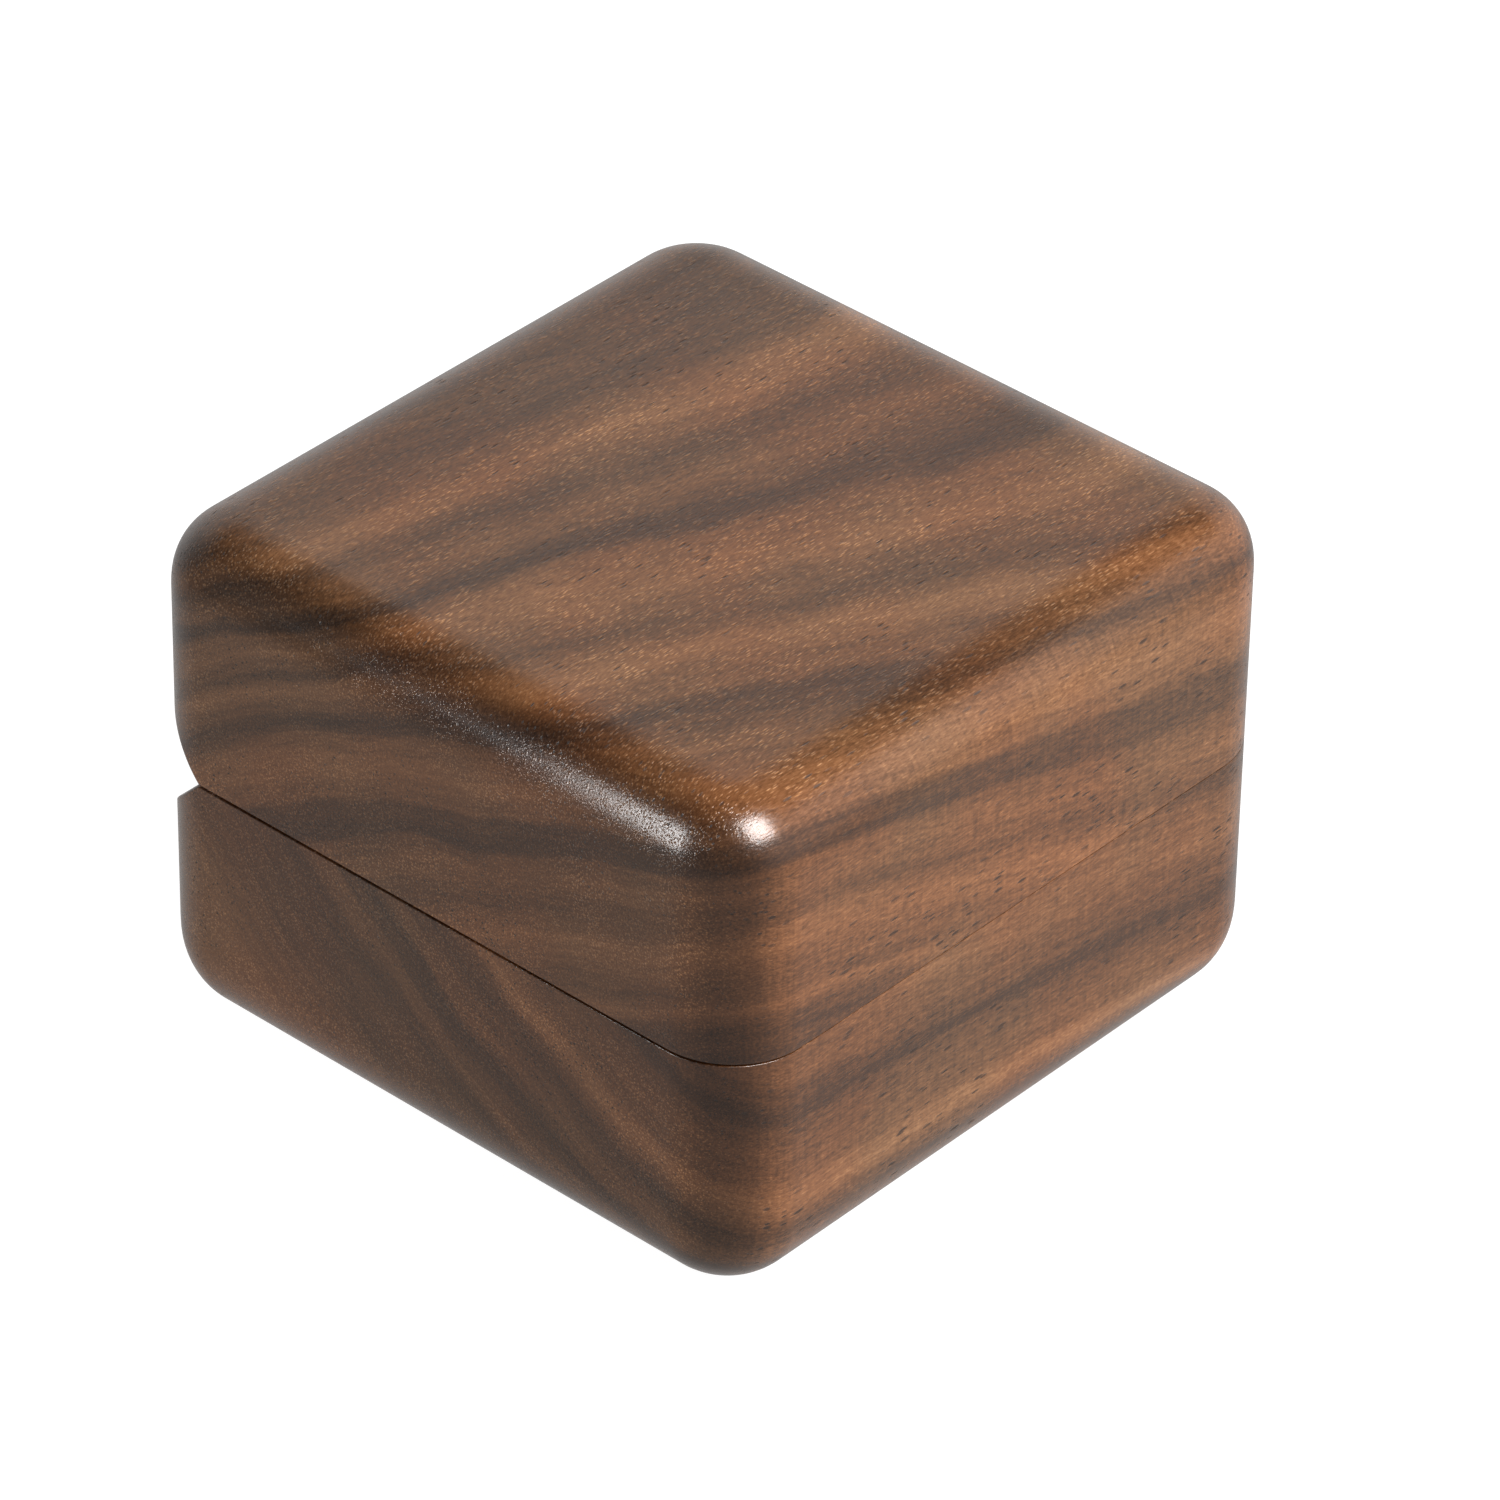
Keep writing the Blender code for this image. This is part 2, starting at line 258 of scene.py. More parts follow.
def skin(name, rings):
    """A closed mesh over rings, an array of step x point x 3 in metres."""
    steps, around, _ = rings.shape
    points = np.concatenate([rings.reshape(-1, 3), rings[:1].mean(axis=1), rings[-1:].mean(axis=1)])
    quads, fans = faces_of(steps, around)
    if signed_volume(points, quads, fans) < 0:
        quads, fans = quads[:, ::-1], fans[:, ::-1]
    mesh = bpy.data.meshes.new(name)
    mesh.from_pydata(points.tolist(), [], quads.tolist() + fans.tolist())
    mesh.update()
    piece = bpy.data.objects.new(name, mesh)
    bpy.context.scene.collection.objects.link(piece)
    return piece


# %% Smooth shading, kept crisp at real edges
CRISP = math.radians(30.0)


def shade(piece):
    """Smooth shading with sharp edges past the crisp angle, and normals weighted by face area."""
    piece.data.shade_smooth()
    piece.data.set_sharp_from_angle(angle=CRISP)
    weighted = piece.modifiers.new("even_shading", "WEIGHTED_NORMAL")
    weighted.keep_sharp = True
    return piece


# %% Turned shapes and the cuts they make


def turned(name, profile, centre, axis="Z", sides=48):
    """A profile of (radius, height) pairs carried round an axis through the centre."""
    radius, height = np.array(profile).T[:, :, None]
    turn = np.linspace(0, 2 * np.pi, sides, endpoint=False)
    flat_a, flat_b, along = radius * np.cos(turn), radius * np.sin(turn), height + 0 * turn
    order = (along, flat_a, flat_b) if axis == "X" else (flat_a, flat_b, along)
    return skin(name, np.stack(order, axis=-1) + np.array(centre))


def eased_rod(radius, low, high, ease, steps=4):
    """The profile of a rod whose two rims are quarter circles of the ease radius."""
    turn = np.linspace(0, np.pi / 2, steps + 1)
    start = np.stack([radius - ease + ease * np.sin(turn), low + ease - ease * np.cos(turn)], axis=1)
    end = np.stack([radius - ease + ease * np.cos(turn), high - ease + ease * np.sin(turn)], axis=1)
    return np.concatenate([start, end])


def evaluated_mesh(piece):
    """A new mesh with the piece's modifiers applied."""
    bpy.context.view_layer.update()
    return bpy.data.meshes.new_from_object(piece.evaluated_get(bpy.context.evaluated_depsgraph_get()))


def bake(piece):
    """Put the modifiers' result into the piece's own mesh and drop them."""
    piece.data = evaluated_mesh(piece)
    piece.modifiers.clear()


def fit(piece, body, node):
    """Let a piece ride on a body in the place of a CAD node, and hide the node."""
    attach(piece, body)
    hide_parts(node)
    return piece


def carve(piece, cutters):
    """Take closed shapes out of a piece at once, and drop the cutters."""
    for cutter in cutters:
        cut = piece.modifiers.new("carve", "BOOLEAN")
        cut.operation = "DIFFERENCE"
        cut.solver = "EXACT"
        cut.object = cutter
    bake(piece)
    for cutter in cutters:
        bpy.data.objects.remove(cutter, do_unlink=True)
    return piece


# %% [markdown]
# ## The two walnut blocks
#
# Each half of the box is one block of wood: rounded outside, with a pocket milled into it and, along
# the back at the seam, a groove. Its slanted faces meet when the lid is at ninety degrees, which is
# how hidden barrel hinges find room to turn. The block could be a cube with bevels and cuts, but
# then its edges are facets. Here one ring runs round the block and is carried along the section of
# the wall: out under the base, up the outside, over the rim, down the pocket and in over its floor.
# The ring's back corners are cut short wherever the groove is, so groove and edges are one surface.

# %% Sizes of the blocks, from the frame
CORNER = 6.1 * MM
TOP_ROUND = 5.3 * MM
BOTTOM_ROUND = 7.0 * MM
POCKET_CORNER = 6.0 * MM
GROOVE_DEPTH = 5.6 * MM
GROOVE_ROUND = 8.0 * MM
GROOVE_EDGE = 0.35 * MM
LINING_GAP = 0.3 * MM
RIM_EASE = 0.07 * MM
POCKET_EASE = 0.35 * MM
TINY = 0.05 * MM

base_low, base_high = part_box("base_body")
lid_low, lid_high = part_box("lid_body")
board_low, board_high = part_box("cushion_board")
roof_board_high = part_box("lid_board")[1]
HALF_WIDTH = base_high.x
FRONT, BACK = base_low.y, base_high.y
SEAM = (base_high.z + lid_low.z) / 2
POCKET_HALF = board_high.x + LINING_GAP
POCKET_FRONT, POCKET_BACK = board_low.y - LINING_GAP, board_high.y + LINING_GAP
print("pocket, mm:", round(2 * POCKET_HALF / MM, 1), "x", round((POCKET_BACK - POCKET_FRONT) / MM, 1))

# %% One ring round the block
CORNER_STEPS = 22
SIDE_STEPS = 26


def back_corner(turn, centre_x, centre_y, radius, limit):
    """A quarter turn by its turning angle, cut short at y = limit, with a small round there.

    The small round's middle lies an edge radius under the limit and (radius - edge) from the big
    round's middle, so both arcs share a tangent at the angle that joins the two middles.
    """
    edge = np.minimum(GROOVE_EDGE, radius / 2)
    rise = limit - edge - centre_y
    run = np.sqrt(np.maximum((radius - edge) ** 2 - rise ** 2, 0))
    on_big = turn <= np.arctan2(rise, run)
    x = np.where(on_big, centre_x + radius * np.cos(turn), centre_x + run + edge * np.cos(turn))
    y = np.where(on_big, centre_y + radius * np.sin(turn), centre_y + rise + edge * np.sin(turn))
    return np.stack([x, y], axis=-1)


def straight(start, end, steps):
    """Points between two corner ends, without the ends themselves."""
    share = np.linspace(0, 1, steps + 1)[1:-1, None]
    return start[:, None] * (1 - share) + end[:, None] * share


def plan_rings(half, front, back, corner, limit):
    """Rings seen from above, one for each value of the arrays: four quarter turns and four sides."""
    half, front, back, corner, limit = (np.atleast_1d(value)[:, None] for value in (
        half, front, back, corner, limit))
    turn = np.linspace(0, np.pi / 2, CORNER_STEPS + 1)
    right_back = back_corner(turn, half - corner, back - corner, corner, limit)
    left_back = right_back[:, ::-1] * (-1, 1)
    right_front = np.stack([half - corner + corner * np.sin(turn),
                            front + corner - corner * np.cos(turn)], axis=-1)
    left_front = right_front[:, ::-1] * (-1, 1)
    corners = [right_front, right_back, left_back, left_front]
    pieces = []
    for here, following in zip(corners, corners[1:] + corners[:1]):
        pieces += [here, straight(here[:, -1], following[:, 0], SIDE_STEPS)]
    return np.concatenate(pieces, axis=1)


# %% The groove's depth at each height


def groove_limit(height):
    """How far back the wood reaches at a height from the seam.

    A face at 45 degrees from the groove's bottom, then an arc that is tangent to it and to the back.
    """
    reach = GROOVE_DEPTH + GROOVE_ROUND * math.tan(math.pi / 8)
    join = reach - GROOVE_ROUND * math.sin(math.pi / 4)
    drop = np.clip(reach - height, 0, GROOVE_ROUND)
    arc = BACK - GROOVE_ROUND + np.sqrt(GROOVE_ROUND ** 2 - drop ** 2)
    slanted = BACK - GROOVE_DEPTH + height
    return np.where(height < join, slanted, arc)


# %% The section of the wall, as rings
SANDED = 2.25
FAR_FACE_SHARES = np.array([0.3, 0.6, 0.85, 0.96, 0.99])


def quarter(steps):
    """Angles of a quarter turn, in even steps."""
    return np.linspace(0, np.pi / 2, steps + 1)


def sanded_round(turn):
    """Shares of a hand sanded edge at each angle: (cos, sin) raised to 2 / 2.25, so that the curve
    x^2.25 + y^2.25 = 1 leaves both faces more gently than a circle would."""
    return np.cos(turn) ** (2 / SANDED), np.sin(turn) ** (2 / SANDED)


def outer_section(depth, far_round):
    """(inset, height from the rim) pairs from the far face's edge to the end of the rim's own round."""
    level, rise = sanded_round(quarter(20)[::-1])
    far = np.stack([far_round * (1 - level), depth - far_round * (1 - rise)], axis=1)
    wall_heights = np.linspace(depth - far_round, RIM_EASE, 44)[1:-1]
    wall = np.stack([0 * wall_heights, wall_heights], axis=1)
    turn = quarter(4)
    rim = np.stack([RIM_EASE * (1 - np.cos(turn)), RIM_EASE * (1 - np.sin(turn))], axis=1)
    return np.concatenate([far, wall, rim])


def pocket_section(pocket_depth):
    """(inset, height) pairs from the pocket's eased rim down its wall and into a small floor round."""
    turn = quarter(4)
    lip = np.stack([POCKET_EASE * (np.sin(turn) - 1), POCKET_EASE * (1 - np.cos(turn))], axis=1)
    wall_heights = np.linspace(POCKET_EASE, pocket_depth - POCKET_EASE, 12)[1:-1]
    wall = np.stack([0 * wall_heights, wall_heights], axis=1)
    foot = np.stack([POCKET_EASE * (1 - np.cos(turn)),
                     pocket_depth - POCKET_EASE * (1 - np.sin(turn))], axis=1)
    return np.concatenate([lip, wall, foot])


def blend_rings(first, last, steps):
    """Rings between two rings, in even steps, without the two themselves."""
    share = np.linspace(0, 1, steps + 1)[1:-1, None, None]
    return first[None] * (1 - share) + last[None] * share


def lift_flat(rings, height):
    """Give plan rings their height as a third coordinate."""
    tall = np.broadcast_to(np.atleast_1d(height)[:, None, None], (*rings.shape[:2], 1))
    return np.concatenate([rings, tall], axis=-1)


def block_rings(depth, far_round, pocket_depth):
    """All rings of one block, height measured from its rim into the block."""
    inset, height = outer_section(depth, far_round).T
    back_limit = np.minimum(groove_limit(height + abs(SEAM - base_high.z)), BACK)
    outside = lift_flat(plan_rings(HALF_WIDTH - inset, FRONT + inset, BACK - inset,
                                   np.maximum(CORNER - inset, TINY), back_limit - inset), height)
    inset, height = pocket_section(pocket_depth).T
    inside = lift_flat(plan_rings(POCKET_HALF - inset, POCKET_FRONT + inset, POCKET_BACK - inset,
                                  POCKET_CORNER - inset, POCKET_BACK - inset), height)
    far_middle = outside[0].mean(axis=0)
    shares = FAR_FACE_SHARES[:, None, None]
    far_face = far_middle + (outside[0] - far_middle) * shares
    floor_middle = inside[-1].mean(axis=0)
    floor = floor_middle + (inside[-1] - floor_middle) * shares[::-1]
    rim = blend_rings(outside[-1], inside[0], 6)
    return np.concatenate([far_face, outside, rim, inside, floor])


# %% Make both blocks
# The lid rests a hair lower at its front than at its hinges: the seam closes to a hairline there.
SEAM_TAPER = 0.15 * MM
TAPER_FADE = 3.0 * MM
LEFT_STRIP = 9.0 * MM
LEFT_SINK = 0.15


def settle(rings):
    """Lower a lid's rim by the taper times the share of the depth towards the front, fading upwards.

    The left wall sinks least, so the seam stays a little more open along that side.
    """
    share = np.clip((BACK - rings[..., 1]) / (BACK - FRONT), 0, 1)
    share = share * np.interp(rings[..., 0], (-HALF_WIDTH, -HALF_WIDTH + LEFT_STRIP), (LEFT_SINK, 1.0))
    fade = np.clip(1 - rings[..., 2] / TAPER_FADE, 0, 1)
    settled = rings.copy()
    settled[..., 2] -= SEAM_TAPER * share * fade
    return settled


def to_world(rings, rim, sign):
    """Turn height from the rim into height above the table: up for the lid, down for the base."""
    placed = rings.copy()
    placed[..., 2] = rim + sign * rings[..., 2]
    return placed


base_pocket = base_high.z - board_low.z + LINING_GAP
lid_pocket = roof_board_high.z - lid_low.z + LINING_GAP
base_rings = block_rings(base_high.z - base_low.z, BOTTOM_ROUND, base_pocket)
lid_rings = settle(block_rings(lid_high.z - lid_low.z, TOP_ROUND, lid_pocket))
walnut_base = skin("walnut_base_block", to_world(base_rings, base_high.z, -1))
walnut_lid = skin("walnut_lid_block", to_world(lid_rings, lid_low.z, 1))
print("faces:", len(walnut_base.data.polygons), "and", len(walnut_lid.data.polygons))

# %% Drill the rims for the hinges and the magnets
BORE_CLEARANCE = 0.05 * MM
OVERCUT = 2.0 * MM
SIDES = ("left", "right")
PLACES = [(half, side) for half in ("base", "lid") for side in SIDES]


def rod_of(node, axis="Z"):
    """Middle, radius and length of a round CAD node that lies along z or x, from its box."""
    low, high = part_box(node)
    size = high - low
    radius, length = (size.z / 2, size.x) if axis == "X" else (size.x / 2, size.z)
    return (low + high) / 2, radius, length


def bores(half, sign):
    """One round cutter for each barrel and magnet of a block, open at the rim."""
    cutters = []
    for fitting in ("barrel", "magnet"):
        for side in SIDES:
            middle, radius, length = rod_of(f"{half}_{fitting}_{side}")
            deep = length / 2 + BORE_CLEARANCE
            profile = [(radius + BORE_CLEARANCE, sign * height) for height in (-OVERCUT - deep, deep)]
            cutters.append(turned("bore", profile, middle))
    return cutters


carve(walnut_base, bores("base", -1))
carve(walnut_lid, bores("lid", 1))
for piece, body in ((walnut_base, "base"), (walnut_lid, "lid")):
    fit(shade(piece), body, body + "_body")
    print(piece.name, len(piece.data.vertices), "points after drilling")

# %% [markdown]
# ## Short words for material nodes
#
# A finish is a graph of nodes. Built with Blender's raw calls, each node takes several lines, and
# the idea gets lost. A small notebook class keeps the words short: every call adds one node and
# hands back its result, and a number or another node's result can feed any input.

# %% The notebook


class Finish:
    """A new material and short calls for its nodes."""

    def __init__(self, name):
        """Start with the plain shader, the place in millimetres, and the direction a face looks."""
        self.material = bpy.data.materials.new(name)
        self.material.use_nodes = True
        self.nodes = self.material.node_tree.nodes
        self.shader = self.nodes["Principled BSDF"]
        place = self.add("ShaderNodeTexCoord")
        self.place = self.vector("SCALE", place.outputs["Object"], scale=1 / MM)
        self.facing = place.outputs["Normal"]

    def feed(self, socket, value):
        """Link a result to an input, or set a plain value on it."""
        if isinstance(value, bpy.types.NodeSocket):
            self.material.node_tree.links.new(value, socket)
        else:
            socket.default_value = value

    def add(self, kind, values=(), **settings):
        """One node with its settings and inputs."""
        node = self.nodes.new(kind)
        for name, setting in settings.items():
            setattr(node, name, setting)
        for key, value in dict(values).items():
            self.feed(node.inputs[key], value)
        return node

    def math(self, how, *values):
        """One step of arithmetic."""
        return self.add("ShaderNodeMath", enumerate(values), operation=how).outputs[0]

    def vector(self, how, *values, scale=None):
        """One step on vectors; a dot product or a length gives a number."""
        node = self.add("ShaderNodeVectorMath", enumerate(values), operation=how)
        if scale is not None:
            node.inputs["Scale"].default_value = scale
        return node.outputs["Value" if how in ("DOT_PRODUCT", "LENGTH") else "Vector"]

    def split(self, vector):
        """The three parts of a vector."""
        return self.add("ShaderNodeSeparateXYZ", {0: vector}).outputs

    def join(self, x, y, z):
        """A vector from three parts."""
        return self.add("ShaderNodeCombineXYZ", {0: x, 1: y, 2: z}).outputs[0]

    def noise(self, vector, scale=1.0, detail=2.0, rough=0.5):
        """Smooth noise from 0 to 1; scale is in waves for each millimetre of the vector."""
        node = self.add("ShaderNodeTexNoise", {"Vector": vector, "Scale": scale, "Detail": detail,
                                               "Roughness": rough})
        return node.outputs[0]

    def span(self, value, low, high, start=0.0, end=1.0):
        """A smooth step from start to end as the value goes from low to high."""
        return self.add("ShaderNodeMapRange", {"Value": value, "From Min": low, "From Max": high,
                                               "To Min": start, "To Max": end},
                        interpolation_type="SMOOTHSTEP").outputs["Result"]

    def mix(self, share, first, second, how="MIX"):
        """Two colours mixed by a share."""
        inputs = {0: share, 6: first, 7: second}
        return self.add("ShaderNodeMix", inputs, data_type="RGBA", blend_type=how).outputs[2]

    def ramp(self, value, stops, easing="LINEAR"):
        """Colours at places from 0 to 1, with easing between them."""
        node = self.add("ShaderNodeValToRGB", {"Fac": value})
        node.color_ramp.interpolation = easing
        elements = node.color_ramp.elements
        while len(elements) < len(stops):
            elements.new(0.5)
        for element, (place, colour) in zip(elements, stops):
            element.position = place
            element.color = (*colour, 1.0)
        return node.outputs["Color"]

    def bump(self, height, depth):
        """Relief: a height of 1 stands depth millimetres proud."""
        return self.add("ShaderNodeBump", {"Height": height, "Distance": depth * MM}).outputs["Normal"]

    def wear(self, colour, roughness, normal=None, **plain):
        """Feed the shader: colour and roughness may be results, the rest are plain values."""
        self.feed(self.shader.inputs["Base Color"], colour)
        self.feed(self.shader.inputs["Roughness"], roughness)
        if normal is not None:
            self.feed(self.shader.inputs["Normal"], normal)
        for name, value in plain.items():
            self.shader.inputs[name.replace("_", " ")].default_value = value
        return self.material


# %% [markdown]
# ## Walnut
#
# Wood is a solid pattern: a tree lays one layer over the last, and the saw cuts through them. So the
# pattern is not painted on the faces. It is a number for every point in space, the height in the
# stack of layers, and each face shows where it cuts the stack. That is why bands run over an edge
# and turn there. The height is z plus a tilt and a few bends, and noise makes it waver.
#
# On top of that come smaller things. Streaks follow the layers. Pores are short tubes along the
# fibres, so they are dashes on the long faces and dots on the end grain, and finer golden flecks
# lie the same way; their pale gold is partly painted glints, pores catching the light. The end
# grain is darker from the oil it drinks, and the rounded edges towards it are darker still: that
# extra dark is painted shade, for edges that mirror the dark ceiling.
# The two blocks are cut from different places of one plank, so they have the same recipe with
# other tilts and other layers.

# %% How the layers lie in each block
REACH = 25.0

LID_LAYERS = dict(
    datum=30.0, tilt=(0.20, 0.385, 1.0), bend=(-0.03, 0.10, 0.18), twist=(-0.05, -0.10, 0.0),
    swell=(-0.028, 0.07, 0.0),
    tones=[(-26, 0.10), (-22.5, 0.18), (-21, 0.62), (-19.6, 0.42), (-16, 0.74), (-13.5, 0.40),
           (-11, 0.60), (-9.4, 0.45), (-8.6, 0.14), (-6.6, 0.20), (-5.4, 0.60), (-2.5, 0.80),
           (-0.6, 0.62), (1.3, 0.14), (2.6, 0.52), (4.2, 0.80), (5.5, 0.30), (6.2, 0.44), (7.6, 0.76),
           (8.9, 0.58), (10.0, 0.06), (11.7, 0.50), (13.3, 0.28), (15.4, 0.74), (18.0, 0.22),
           (23.0, 0.18), (26.0, 0.40)])

BASE_LAYERS = dict(
    datum=12.0, tilt=(0.10, -0.60, 1.0), bend=(0.04, -0.10, -0.16), twist=(0.0, 0.13, -0.10),
    swell=(0.034, 0.01, 0.0),
    tones=[(-18, 0.80), (-14, 0.66), (-11, 0.46), (-8, 0.38), (-4.7, 0.28), (-2.6, 0.54),
           (-0.1, 0.18), (1.9, 0.54), (4.5, 0.24), (5.6, 0.50), (7.3, 0.92), (9.4, 0.52),
           (11.3, 0.48), (13.4, 0.34), (14.7, 0.04), (16.0, 0.34), (17.7, 0.50), (20.7, 0.70),
           (23.5, 0.54), (26.5, 0.16)])


def layer_height(finish, layers):
    """Height in the stack, in mm: reach x (tilt of x, y, z + bend of squares + twist of the products
    xy, xz, yz + swell of cubes), with x, y and z counted in reaches from the datum."""
    shifted = finish.vector("SUBTRACT", finish.place, (0.0, 0.0, layers["datum"]))
    unit = finish.vector("SCALE", shifted, scale=1 / REACH)
    x, y, z = finish.split(unit)
    squares = finish.vector("MULTIPLY", unit, unit)
    cubes = finish.vector("MULTIPLY", squares, unit)
    products = finish.vector("MULTIPLY", finish.join(x, x, y), finish.join(y, z, z))
    total = finish.vector("DOT_PRODUCT", unit, layers["tilt"])
    for terms, shares in ((squares, "bend"), (products, "twist"), (cubes, "swell")):
        total = finish.math("ADD", total, finish.vector("DOT_PRODUCT", terms, layers[shares]))
    return finish.math("MULTIPLY", total, REACH)


# %% Layers, streaks and their tone
WAVER = 2.6
RIPPLE = 0.7
CONTRAST = 0.68
BROAD_STREAKS = 0.40
FINE_STREAKS = 0.34


def layer_tone(finish, height, layers):
    """Tone from 0, dark, to 1, light: the layer's own tone with fine streaks that follow it."""
    x, y, z = finish.split(finish.place)
    lazy = finish.join(finish.math("MULTIPLY", x, 0.35), y, z)
    wave = finish.math("SUBTRACT", finish.noise(lazy, 0.10, 1.0), 0.5)
    ripple = finish.math("SUBTRACT", finish.noise(lazy, 0.5, 2.0), 0.5)
    height = finish.math("MULTIPLY_ADD", wave, WAVER, height)
    height = finish.math("MULTIPLY_ADD", ripple, RIPPLE, height)
    low, high = layers["tones"][0][0], layers["tones"][-1][0]
    share = finish.math("DIVIDE", finish.math("SUBTRACT", height, float(low)), float(high - low))
    stops = [((place - low) / (high - low), (0.5 + CONTRAST * (tone - 0.5),) * 3)
             for place, tone in layers["tones"]]
    tone = finish.ramp(share, stops, "EASE")
    along = finish.join(finish.math("MULTIPLY", x, 0.045), finish.math("MULTIPLY", y, 0.08), height)
    broad = finish.math("SUBTRACT", finish.noise(along, 0.9, 3.0, 0.6), 0.5)
    fine = finish.math("SUBTRACT", finish.noise(along, 3.4, 3.0, 0.6), 0.5)
    tone = finish.math("MULTIPLY_ADD", broad, BROAD_STREAKS, tone)
    return finish.math("MULTIPLY_ADD", fine, FINE_STREAKS, tone)


# %% Pores, flecks and rays


def specks(finish, length, width, size, soften, keep=1.0):
    """Short tubes along x: cells as long and wide as given, and inside each a core of the given size.

    The core's share falls smoothly from 1 to 0 between size and size + soften of a cell, and only
    the given share of the cells has one.
    """
    cell = finish.vector("MULTIPLY", finish.place, (1 / length, 1 / width, 1 / width))
    cells = finish.add("ShaderNodeTexVoronoi", {"Vector": cell, "Scale": 1.0, "Randomness": 1.0})
    core = finish.span(cells.outputs["Distance"], size, size + soften, 1.0, 0.0)
    if keep >= 1.0:
        return core
    lottery = finish.split(cells.outputs["Color"])[0]
    return finish.math("MULTIPLY", core, finish.math("LESS_THAN", lottery, keep))


WOOD = [(0.0, (0.034, 0.0175, 0.0110)), (0.25, (0.060, 0.0280, 0.0130)),
        (0.5, (0.114, 0.0495, 0.0200)), (0.75, (0.186, 0.082, 0.033)), (1.0, (0.27, 0.130, 0.056))]
PORE_COLOUR = (0.022, 0.010, 0.005, 1.0)
BLUSH = (1.0, 0.86, 0.76, 1.0)
# Pale gold of the flecks: partly the grain's own light flecks, and partly painted glints of pores that
# catch the light.
FLECK_GOLD_AND_GLINT = (1.25, 1.60, 1.75)
RAYS = 0.34
GRIT = 0.95
# The end grain is dimmed by this share: partly the oil it drinks, and on the rounded edges painted
# shade. END_LIFT gives the flat end faces part of it back.
EDGE_OIL_AND_SHADE = 0.50
END_LIFT = 0.27
RELIEF = 0.020


def walnut_finish(name, layers, lightness):
    """Oiled and polished walnut with the layers of one block.

    Tone = layers + rays on the front and back faces + grit. The colour ramp turns tone into wood.
    Pores darken it, flecks brighten it, partly as painted glints, and sides that cut across the
    fibres are dimmed, the rounded edges most: oil darkens the end grain, and the edges get painted
    shade on top. The relief is grit, with flecks proud and pores sunk.
    """
    finish = Finish(name)
    height = layer_height(finish, layers)
    tone = layer_tone(finish, height, layers)
    across_x, across_y = (finish.math("ABSOLUTE", part) for part in finish.split(finish.facing)[:2])
    end_grain = finish.span(across_x, 0.12, 0.80)
    front_grain = finish.span(across_y, 0.5, 0.95)

    rays = finish.noise(finish.vector("MULTIPLY", finish.place, (3.2, 0.4, 0.22)), 1.0, 2.0, 0.6)
    rays = finish.math("MULTIPLY", finish.math("SUBTRACT", rays, 0.5), front_grain)
    tone = finish.math("MULTIPLY_ADD", rays, RAYS, tone)
    grit = finish.noise(finish.vector("MULTIPLY", finish.place, (1.6, 7.0, 7.0)), 1.0, 2.0, 0.7)
    tone = finish.math("MULTIPLY_ADD", finish.math("SUBTRACT", grit, 0.5), GRIT, tone)
    wood = finish.ramp(tone, WOOD)
    blush = finish.span(finish.noise(finish.place, 0.06, 2.0), 0.35, 0.65)
    wood = finish.mix(blush, wood, BLUSH, "MULTIPLY")

    pore_field = finish.span(finish.noise(finish.place, 0.16, 2.0), 0.40, 0.62)
    dashes = finish.math("MULTIPLY", specks(finish, 2.2, 0.60, 0.13, 0.15, 0.6), front_grain)
    pores = finish.math("MAXIMUM", specks(finish, 1.9, 0.40, 0.12, 0.16, 0.55), dashes)
    pores = finish.math("MULTIPLY", pores, pore_field)
    wood = finish.mix(finish.math("MULTIPLY", pores, 0.85), wood, PORE_COLOUR)

    # Flecks: golden marks along the fibres that lighten the colour, partly painted glints. They also
    # stand proud in the relief.
    fleck_field = finish.span(finish.noise(finish.place, 0.13, 2.0), 0.30, 0.60, 0.35, 1.0)
    dots = finish.math("MULTIPLY", specks(finish, 0.6, 0.25, 0.12, 0.30, 0.6), end_grain)
    strokes = finish.math("MAXIMUM", specks(finish, 0.80, 0.165, 0.12, 0.28), dots)
    few = finish.span(across_y, 0.25, 0.8, 1.0, 0.25)
    flecks = finish.math("MULTIPLY", finish.math("MULTIPLY", strokes, fleck_field), few)
    gold = finish.vector("MULTIPLY_ADD", finish.join(flecks, flecks, flecks), FLECK_GOLD_AND_GLINT, (1.0,) * 3)
    wood = finish.vector("MULTIPLY", wood, gold)

    # Painted shade: the rounded edges next to the end grain are darkened most and the flat end faces
    # less, over the oiled end grain's own darker tone.
    dim = finish.span(end_grain, 0.0, 1.0, lightness, EDGE_OIL_AND_SHADE * lightness)
    dim = finish.math("ADD", dim, finish.span(across_x, 0.86, 1.0, 0.0, END_LIFT * lightness))
    wood = finish.vector("MULTIPLY", wood, finish.join(dim, dim, dim))

    relief = finish.math("MULTIPLY_ADD", pores, -1.0, finish.math("MULTIPLY", grit, 0.8))
    relief = finish.math("MULTIPLY_ADD", flecks, 0.8, relief)
    rough = finish.math("MULTIPLY_ADD", pores, 0.25, finish.span(grit, 0.3, 0.7, 0.20, 0.27))
    return finish.wear(wood, rough, finish.bump(relief, RELIEF), IOR=1.5)


walnut_base.data.materials.append(walnut_finish("oiled_walnut_base", BASE_LAYERS, 0.90))
walnut_lid.data.materials.append(walnut_finish("oiled_walnut_lid", LID_LAYERS, 1.0))
print("walnut:", len(walnut_lid.data.materials[0].node_tree.nodes), "nodes")

